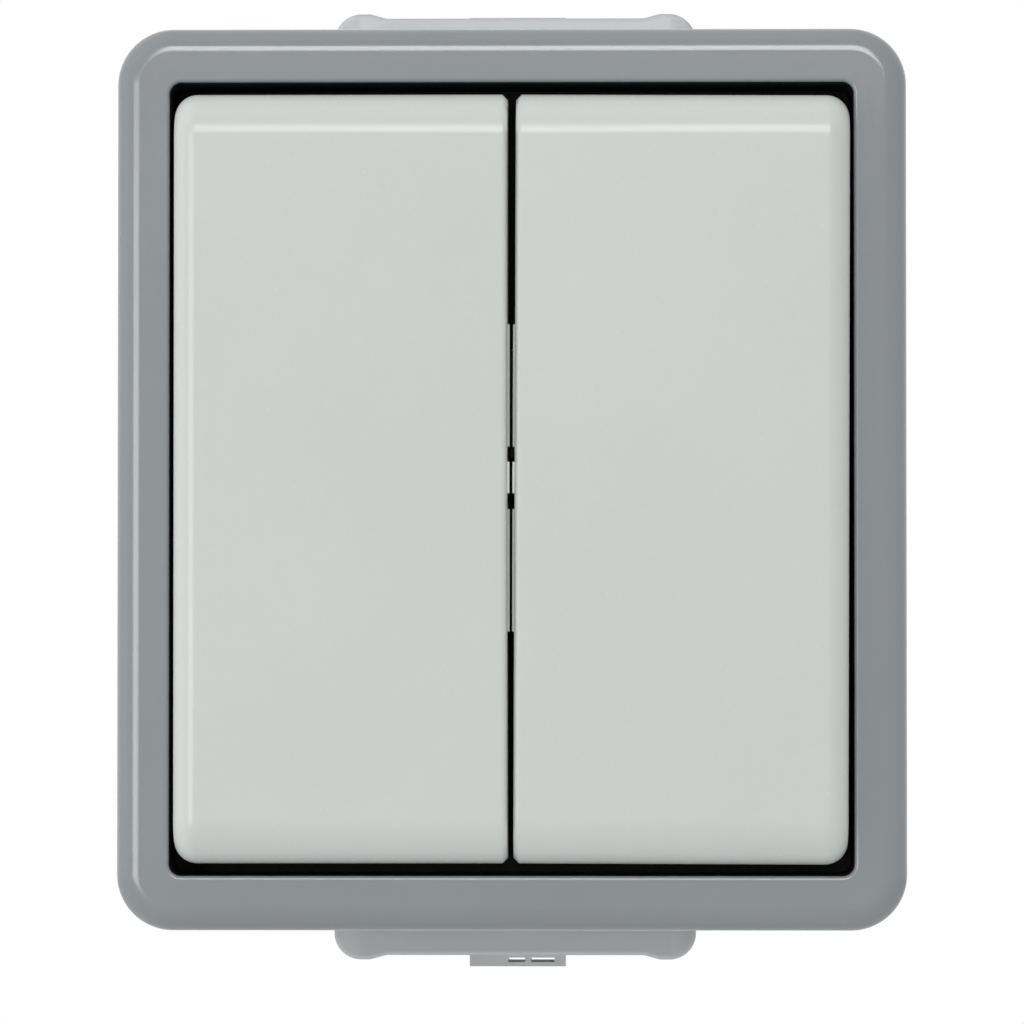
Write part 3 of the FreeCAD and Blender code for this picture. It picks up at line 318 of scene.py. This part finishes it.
def boxes_object(name, boxes):
    """A helper object made of boxes, each given by its centre, its size and its turn about Y."""
    data = bmesh.new()
    for centre, size, turn in boxes:
        made = bmesh.ops.create_cube(data, size=1.0)
        shift = Matrix.Translation(centre)
        place = shift @ Matrix.Rotation(turn, 4, "Y") @ Matrix.Diagonal((*size, 1))
        bmesh.ops.transform(data, matrix=place, verts=made["verts"])
    return new_object(name, mesh_of(name, data))


def boolean_mesh(piece, steps, crossing=False):
    """The piece's mesh once helpers are joined to it or cut from it; the helpers are removed."""
    for helper, operation in steps:
        modifier = piece.modifiers.new(operation, "BOOLEAN")
        modifier.operation = operation
        modifier.solver = "EXACT"
        modifier.use_self = crossing
        modifier.object = helper
    bpy.context.view_layer.update()
    evaluated = piece.evaluated_get(bpy.context.evaluated_depsgraph_get())
    mesh = bpy.data.meshes.new_from_object(evaluated)
    piece.modifiers.clear()
    for helper, _ in steps:
        bpy.data.objects.remove(helper)
    return mesh


# The front frame. HOLD is the width of the strips that keep a flat face flat beside a rounding.
CORNER_STEPS = 20
EDGE_STEPS = 14
LIP_STEPS = 6
HOLD = 0.05 * MM
FRAME_CORNER = 4.7 * MM
EDGE_ROUND = 2.0 * MM
SKIRT_WALL = 1.6 * MM
FACE_THICK = 2.0 * MM
OPENING_HALF_WIDTH = 28.55 * MM
OPENING_HALF_HEIGHT = 33.1 * MM
OPENING_CORNER = 1.0 * MM
LIP_ROUND = 0.3 * MM
COLLAR_WALL = 1.2 * MM
COLLAR_DEEP = 9.0 * MM
SNAP_MARGIN = 2.5 * MM
SNAP_WIDTH = 1.6 * MM
SNAP_HEIGHT = 0.4 * MM
SNAP_LENGTH = 12.0 * MM
# The material slot of the opening's wall behind the lip, which is painted black as the shade of the
# gap round the rockers.
GAP_SHADE_SLOT = 1


def rounded_ring(half_width, half_height, corner, depth):
    """Points of a rounded rectangle round the middle of the switch, at a depth."""
    points = []
    for quarter, (way_x, way_z) in enumerate(((1, 1), (-1, 1), (-1, -1), (1, -1))):
        middle_x = way_x * (half_width - corner)
        middle_z = way_z * (half_height - corner)
        for step in range(CORNER_STEPS + 1):
            angle = math.pi / 2 * (quarter + step / CORNER_STEPS)
            across = middle_x + corner * math.cos(angle)
            points.append((across, -depth, middle_z + corner * math.sin(angle)))
    return points


def inset_ring(size, inset, depth):
    """A ring that lies inside a rounded rectangle by an inset, or outside where it is negative."""
    half_width, half_height, corner = size
    return rounded_ring(half_width - inset, half_height - inset, corner - inset, depth)


def quarter_turn(steps):
    """The angles of a quarter turn, both ends included."""
    return [math.pi / 2 * step / steps for step in range(steps + 1)]


def make_frame():
    """The front frame: its rounded edge, its opening's round lip and its collar, whose wall behind
    the lip is painted black as the shade in the gap round the rockers.
    """
    low, high = box_of("front_frame")
    front, rear = -low.y, -high.y
    outer = (high.x, high.z, FRAME_CORNER)
    skirt = (high.x - SKIRT_WALL, high.z - SKIRT_WALL, FRAME_CORNER - SKIRT_WALL)
    opening = (OPENING_HALF_WIDTH, OPENING_HALF_HEIGHT, OPENING_CORNER)
    groove = front - FACE_THICK
    collar_rear = front - COLLAR_DEEP
    rings = [inset_ring(outer, 0, rear), inset_ring(outer, 0, front - EDGE_ROUND - HOLD)]
    for angle in quarter_turn(EDGE_STEPS):
        inset = EDGE_ROUND * (1 - math.cos(angle))
        rings.append(inset_ring(outer, inset, front - EDGE_ROUND * (1 - math.sin(angle))))
    rings.append(inset_ring(outer, EDGE_ROUND + HOLD, front))
    rings.append(inset_ring(opening, -LIP_ROUND - HOLD, front))
    for angle in quarter_turn(LIP_STEPS):
        outset = LIP_ROUND * (1 - math.sin(angle))
        rings.append(inset_ring(opening, -outset, front - LIP_ROUND * (1 - math.cos(angle))))
    gap_shade_row = len(rings) - 1
    rings.append(inset_ring(opening, 0, collar_rear))
    rings.append(inset_ring(opening, -COLLAR_WALL, collar_rear))
    rings.append(inset_ring(opening, -COLLAR_WALL, groove))
    rings.append(inset_ring(skirt, 0, groove))
    rings.append(inset_ring(skirt, 0, rear))
    mesh = grid_mesh("frame_shell", rings, loop=True)
    shell = new_piece("frame_shell", mesh, "frame", "housing")
    mesh.materials.append(FINISHES["seal"])
    count = len(rings[0])
    # The opening's wall behind the lip gets the black rubber: painted shade of the deep gap round
    # the rockers.
    for face in mesh.polygons[gap_shade_row * count:(gap_shade_row + 1) * count]:
        face.material_index = GAP_SHADE_SLOT
    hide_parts("front_frame")
    make_snap_ridges(skirt[0], rear + SNAP_MARGIN)


def make_snap_ridges(wall, start):
    """The ridges inside the frame's skirt that snap into the box, on each side at half height."""
    for side, way in zip(SIDES, (-1, 1)):
        foot, crest = way * (wall + HOLD), way * (wall - SNAP_HEIGHT)
        profile = [
            (foot, start), (crest, start + SNAP_WIDTH / 4),
            (crest, start + SNAP_WIDTH / 2), (foot, start + SNAP_WIDTH),
        ]
        ends = [
            [(across, -depth, up) for across, depth in profile]
            for up in (-SNAP_LENGTH / 2, SNAP_LENGTH / 2)
        ]
        name = f"snap_ridge_{side}"
        new_piece(name, grid_mesh(name, ends), "frame", "housing")


make_frame()


# The slots in the cable entries' grip tabs, as starts and ends across, and the plug that closes the
# CAD's own slots, which lie deeper. Insets are measured from the tab's outer edge.
TAB_SLOTS = ((-0.85 * MM, 0.65 * MM), (1.2 * MM, 3.3 * MM))
TAB_MIDDLE = 5.5 * MM
TAB_CUT = 6.0 * MM
TAB_SLOT_INSET = 0.58 * MM
TAB_SLOT_HEIGHT = 0.4 * MM
PLUG_MIDDLE = 1.925 * MM
PLUG_LENGTH = 3.6 * MM
PLUG_DEEP = 4.98 * MM
PLUG_INSET = 1.65 * MM
PLUG_HEIGHT = 0.5 * MM


def open_tab(label, way):
    """A cable entry whose grip tab has its two slots where they can be seen from the front."""
    entry = frame["nodes"][label]
    low, high = box_of(label)
    edge = low.z if way < 0 else high.z
    slots = []
    for start, end in TAB_SLOTS:
        across = -way * (start + end) / 2
        centre = Vector((across, -TAB_MIDDLE, edge - way * TAB_SLOT_INSET))
        slots.append((centre, (end - start, TAB_CUT, TAB_SLOT_HEIGHT), 0.0))
    centre = Vector((-way * PLUG_MIDDLE, -TAB_MIDDLE, edge - way * PLUG_INSET))
    plug = boxes_object(f"{label}_plug", [(centre, (PLUG_LENGTH, PLUG_DEEP, PLUG_HEIGHT), 0.0)])
    cutter = boxes_object(f"{label}_cutter", slots)
    blank = new_object(f"{label}_blank", entry.data.copy())
    blank.matrix_world = entry.matrix_world.copy()
    mesh = boolean_mesh(blank, ((plug, "UNION"), (cutter, "DIFFERENCE")))
    mesh.transform(blank.matrix_world)
    bpy.data.objects.remove(blank)
    mesh.materials.clear()
    piece = new_piece(f"{label}_open", mesh, "box", "housing")
    soften(piece)
    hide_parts(label)


open_tab("cable_entry_bottom", -1)
open_tab("cable_entry_top", 1)


# The screws. A size holds the radii of the shank and the head, and the head's thickness.
ScrewSize = namedtuple("ScrewSize", "shank head head_thick")
YOKE_SCREW = ScrewSize(1.24 * MM, 2.5 * MM, 1.6 * MM)
TERMINAL_SCREW = ScrewSize(1.24 * MM, 2.1 * MM, 1.8 * MM)
ROUND_SIDES = 32
THREAD_PITCH = 0.7 * MM
THREAD_DEPTH = 0.14 * MM
ROWS_PER_PITCH = 6
DOME_STEPS = 6
SLOT_WIDE = 0.7 * MM
SLOT_DEEP = 0.75 * MM

# Shares of the shank's radius, of the head's radius and of the head's thickness.
TIP_LONG, TIP_RADIUS = 0.5, 0.45
FOOT_RADIUS, DOME_FALL, DOME_FLAT, SLOT_LONG = 0.94, 0.45, 0.5, 2.2
FOOT_TOP, SIDE_TOP = 0.08, 0.45

# Where the screws sit on what they hold. The turns of their slots are in degrees.
YOKE_SCREW_INSET = 3.1 * MM
YOKE_SCREW_LENGTH = 7.5 * MM
YOKE_TURN = 25
CAGE_HALF_WIDTH = 3.3 * MM
CAGE_HALF_HEIGHT = 2.5 * MM
TERMINAL_REACH = 3.6 * MM
TERMINAL_HEAD_GAP = 2.7 * MM
TERMINAL_TURNS = (-20, 15, 50)
EARTH_REACH = 2.2 * MM
EARTH_HEAD_GAP = 1.0 * MM
EARTH_TURN = 60


def turned_ring(place, depth, radii):
    """A ring round a screw's axis, with a radius for each of its points."""
    points = []
    for step, radius in enumerate(radii):
        angle = 2 * math.pi * (step / ROUND_SIDES)
        across = place.x + radius * math.cos(angle)
        points.append((across, -depth, place.z + radius * math.sin(angle)))
    return points


def thread_radii(shank, depth):
    """The radii round the shank at a depth: the crest of the thread winds once in a pitch."""
    phases = [(depth / THREAD_PITCH - step / ROUND_SIDES) % 1 for step in range(ROUND_SIDES)]
    return [shank - THREAD_DEPTH * 2 * abs(phase - 0.5) for phase in phases]


def screw_rings(place, size, tip_depth, seat_depth):
    """Rings of a screw from its tip to the top of its domed head."""
    shank, head, head_thick = size

    def round_ring(depth, radius):
        return turned_ring(place, depth, [radius] * ROUND_SIDES)

    rings = [round_ring(tip_depth - shank * TIP_LONG, shank * TIP_RADIUS)]
    rows = int((seat_depth - tip_depth) / THREAD_PITCH * ROWS_PER_PITCH)
    for row in range(rows):
        depth = tip_depth + (seat_depth - tip_depth) * row / rows
        rings.append(turned_ring(place, depth, thread_radii(shank, depth)))
    side_top = head_thick * SIDE_TOP
    rings.append(round_ring(seat_depth, shank))
    rings.append(round_ring(seat_depth, head * FOOT_RADIUS))
    rings.append(round_ring(seat_depth + head_thick * FOOT_TOP, head))
    rings.append(round_ring(seat_depth + side_top, head))
    for step in range(1, DOME_STEPS + 1):
        angle = math.pi / 2 * step / (DOME_STEPS + 1)
        radius = head * (1 - DOME_FALL + DOME_FALL * math.cos(angle))
        depth = seat_depth + side_top + (head_thick - side_top) * math.sin(angle)
        rings.append(round_ring(depth, radius))
    rings.append(round_ring(seat_depth + head_thick, head * DOME_FLAT))
    return rings


def screw(name, place, size, tip_depth, seat_depth, turns, finish="steel"):
    """A screw with a driver's slot across its head at each of the turns, in degrees."""
    rings = screw_rings(place, size, tip_depth, seat_depth)
    piece = new_piece(name, grid_mesh(name, rings), finish, "housing")
    centre = (place.x, -seat_depth - size.head_thick, place.z)
    slot_size = (size.head * SLOT_LONG, SLOT_DEEP * 2, SLOT_WIDE)
    slots = [(centre, slot_size, math.radians(turn)) for turn in turns]
    cutter = boxes_object(f"{name}_cutter", slots)
    piece.data = boolean_mesh(piece, ((cutter, "DIFFERENCE"),), crossing=True)


def make_screws():
    """The screws of the yoke, the terminals and the earth terminal, seated on what they hold."""
    low, high = box_of("support_yoke")
    for side, way in zip(SIDES, (-1, 1)):
        place = Vector((way * (high.x - YOKE_SCREW_INSET), 0, 0))
        turn = YOKE_TURN * way
        screw(f"yoke_screw_{side}", place, YOKE_SCREW,
              -low.y - YOKE_SCREW_LENGTH, -low.y, (turn, turn + 90))
    low, high = box_of("terminal_cages")
    cage_x = high.x - CAGE_HALF_WIDTH
    cage_z = high.z - CAGE_HALF_HEIGHT
    terminals = (("left", -cage_x, cage_z), ("right", cage_x, cage_z), ("common", 0, -cage_z))
    for (name, across, up), turn in zip(terminals, TERMINAL_TURNS):
        screw(f"terminal_screw_{name}", Vector((across, 0, up)), TERMINAL_SCREW,
              -low.y - TERMINAL_REACH, -low.y + TERMINAL_HEAD_GAP, (turn,))
    low, high = box_of("earth_terminal")
    screw("earth_screw", (low + high) / 2, TERMINAL_SCREW,
          -low.y - EARTH_REACH, -low.y + EARTH_HEAD_GAP, (EARTH_TURN,), finish="brass")


make_screws()


# The snap springs. The wire and the coil are given by their radii, the coil's to the wire's middle.
SPRING_WIRE = 0.2 * MM
SPRING_COIL = 1.6 * MM
SPRING_LENGTH = 5.0 * MM
SPRING_TURNS = 6.5
SPRING_STEPS = 28
WIRE_SIDES = 10


def spring_depth(turn, start, end):
    """The depth of the wire at a turn: the first and the last turn lie closed on the next."""
    closed = SPRING_WIRE * 2
    open_turns = SPRING_TURNS - 2
    closed_turns = min(turn, 1) + max(turn - open_turns - 1, 0)
    rise = min(max(turn - 1, 0), open_turns) / open_turns
    return start + closed * closed_turns + (end - start - 2 * closed) * rise


def make_spring(side):
    """A snap spring as a coil of round wire, between its plunger and the end of the bore."""
    low, high = box_of(f"snap_plunger_{side}")
    middle_x = (low.x + high.x) / 2
    start = -low.y + SPRING_WIRE
    end = start + SPRING_LENGTH - 2 * SPRING_WIRE
    steps = int(SPRING_TURNS * SPRING_STEPS)
    rings = []
    for step in range(steps + 1):
        turn = SPRING_TURNS * step / steps
        angle = 2 * math.pi * turn
        outward = Vector((math.cos(angle), 0, math.sin(angle)))
        centre = Vector((middle_x, -spring_depth(turn, start, end), 0)) + outward * SPRING_COIL
        ring = []
        for corner in range(WIRE_SIDES):
            around = 2 * math.pi * corner / WIRE_SIDES
            offset = outward * math.cos(around) + Vector((0, math.sin(around), 0))
            ring.append(centre + SPRING_WIRE * offset)
        rings.append(ring)
    name = f"coil_spring_{side}"
    piece = new_piece(name, grid_mesh(name, rings), "steel", f"{side}_rocker")
    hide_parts(f"snap_spring_{side}")


for side in SIDES:
    make_spring(side)


# The floor, the lamps and the camera. FLOOR_LIFT whitens the floor where it is seen.
FLOOR_HALF = 0.45
FLOOR_PARTS = 8
FLOOR_DROP = 40 * MM
FLOOR_LIFT = 0.26
FLOOR_COLOUR = linear(240, 240, 240)
FLOOR_ROUGHNESS = 0.8
MOTTLE_SIZE = 30 * MM
MOTTLE_SHADE = 0.98
AMBIENT = 0.32
FACE_DEPTH = 47 * MM
AIM = Vector((0.05 * MM, -FACE_DEPTH, -2.8 * MM))
CAMERA_DISTANCE = 500 * MM
CAMERA_RIGHT = 7.3 * MM
CAMERA_DROP = 14.7 * MM
SENSOR = 36.0
IMAGE_SIDE = 1024
PIXELS_PER_MM = 12.01


def background_rays(tree):
    """1 for the rays that see the background: the camera's own, reflections and refractions."""
    path = tree.nodes.new("ShaderNodeLightPath")
    seen = path.outputs["Is Camera Ray"]
    for ray in ("Is Glossy Ray", "Is Transmission Ray"):
        either = tree.nodes.new("ShaderNodeMath")
        either.operation = "MAXIMUM"
        tree.links.new(seen, either.inputs[0])
        tree.links.new(path.outputs[ray], either.inputs[1])
        seen = either.outputs["Value"]
    return seen


def make_floor():
    """A square floor below the switch with a finely mottled pale paint."""
    grid = bmesh.new()
    bmesh.ops.create_grid(
        grid, x_segments=FLOOR_PARTS, y_segments=FLOOR_PARTS, size=FLOOR_HALF)
    plane = new_object("floor", mesh_of("floor", grid))
    plane.location.z = CAD_BOX[0][2] - FLOOR_DROP
    nodes = Nodes("floor_paint")
    mottle = nodes.noise(MOTTLE_SIZE)
    tone = nodes.blend(mottle, shade(FLOOR_COLOUR, MOTTLE_SHADE), FLOOR_COLOUR)
    nodes.join(tone, nodes.shader.inputs["Base Color"])
    nodes.shader.inputs["Roughness"].default_value = FLOOR_ROUGHNESS
    lift = nodes.add("ShaderNodeMath", operation="MULTIPLY")
    lift.inputs[1].default_value = FLOOR_LIFT
    nodes.join(background_rays(nodes.tree), lift.inputs[0])
    nodes.join(lift.outputs["Value"], nodes.shader.inputs["Emission Strength"])
    nodes.shader.inputs["Emission Color"].default_value = WHITE
    plane.data.materials.append(nodes.material)


def make_world():
    """Plain ambient light, and pure white where the camera or a reflection sees past the object."""
    world = bpy.data.worlds.new("studio")
    world.use_nodes = True
    scene.world = world
    tree = world.node_tree
    tree.nodes.clear()
    output = tree.nodes.new("ShaderNodeOutputWorld")
    mix = tree.nodes.new("ShaderNodeMixShader")
    tree.links.new(background_rays(tree), mix.inputs["Fac"])
    for index, strength in ((1, AMBIENT), (2, 1.0)):
        light = tree.nodes.new("ShaderNodeBackground")
        light.inputs["Color"].default_value = WHITE
        light.inputs["Strength"].default_value = strength
        tree.links.new(light.outputs["Background"], mix.inputs[index])
    tree.links.new(mix.outputs["Shader"], output.inputs["Surface"])


def softbox(name, place, width, height, power, target=AIM, reflected=False):
    """An area lamp turned to a target, which gives either even light or reflections."""
    data = bpy.data.lights.new(name, "AREA")
    data.shape = "RECTANGLE"
    data.size = width
    data.size_y = height
    data.energy = power
    lamp = new_object(name, data)
    lamp.location = place
    lamp.rotation_euler = (target - Vector(place)).to_track_quat("-Z", "Y").to_euler()
    lamp.visible_glossy = reflected
    lamp.visible_diffuse = not reflected


def make_camera():
    """The camera to the right of the switch and below it, aimed at the middle of its face."""
    data = bpy.data.cameras.new("camera")
    data.sensor_width = SENSOR
    data.lens = PIXELS_PER_MM * CAMERA_DISTANCE / MM * SENSOR / IMAGE_SIDE
    camera = new_object("camera", data)
    camera.location = (CAMERA_RIGHT, -FACE_DEPTH - CAMERA_DISTANCE, -CAMERA_DROP)
    camera.rotation_euler = (AIM - camera.location).to_track_quat("-Z", "Y").to_euler()
    scene.camera = camera


make_floor()
make_world()
softbox("fill_front", (0.0, -1.16, 0.43), width=0.7, height=0.4, power=4.9)
softbox("fill_left", (-1.1, -0.2, 0.1), width=0.5, height=0.57, power=3.6)
softbox("fill_top", (0.0, -0.2, 1.1), width=0.5, height=0.57, power=2.5)
softbox("fill_below", (0.0, -0.02, -0.078), width=0.3, height=0.04, power=0.011,
        target=Vector((0.0, -0.02, 0.0)))
softbox("shine_above", (0.05, -1.16, 0.45), width=0.54, height=0.4, power=5.3, reflected=True)
softbox("shine_left", (-0.507, -1.135, -0.04), width=0.5, height=0.42, power=3.5, reflected=True)
make_camera()
scene.view_settings.view_transform = "Standard"
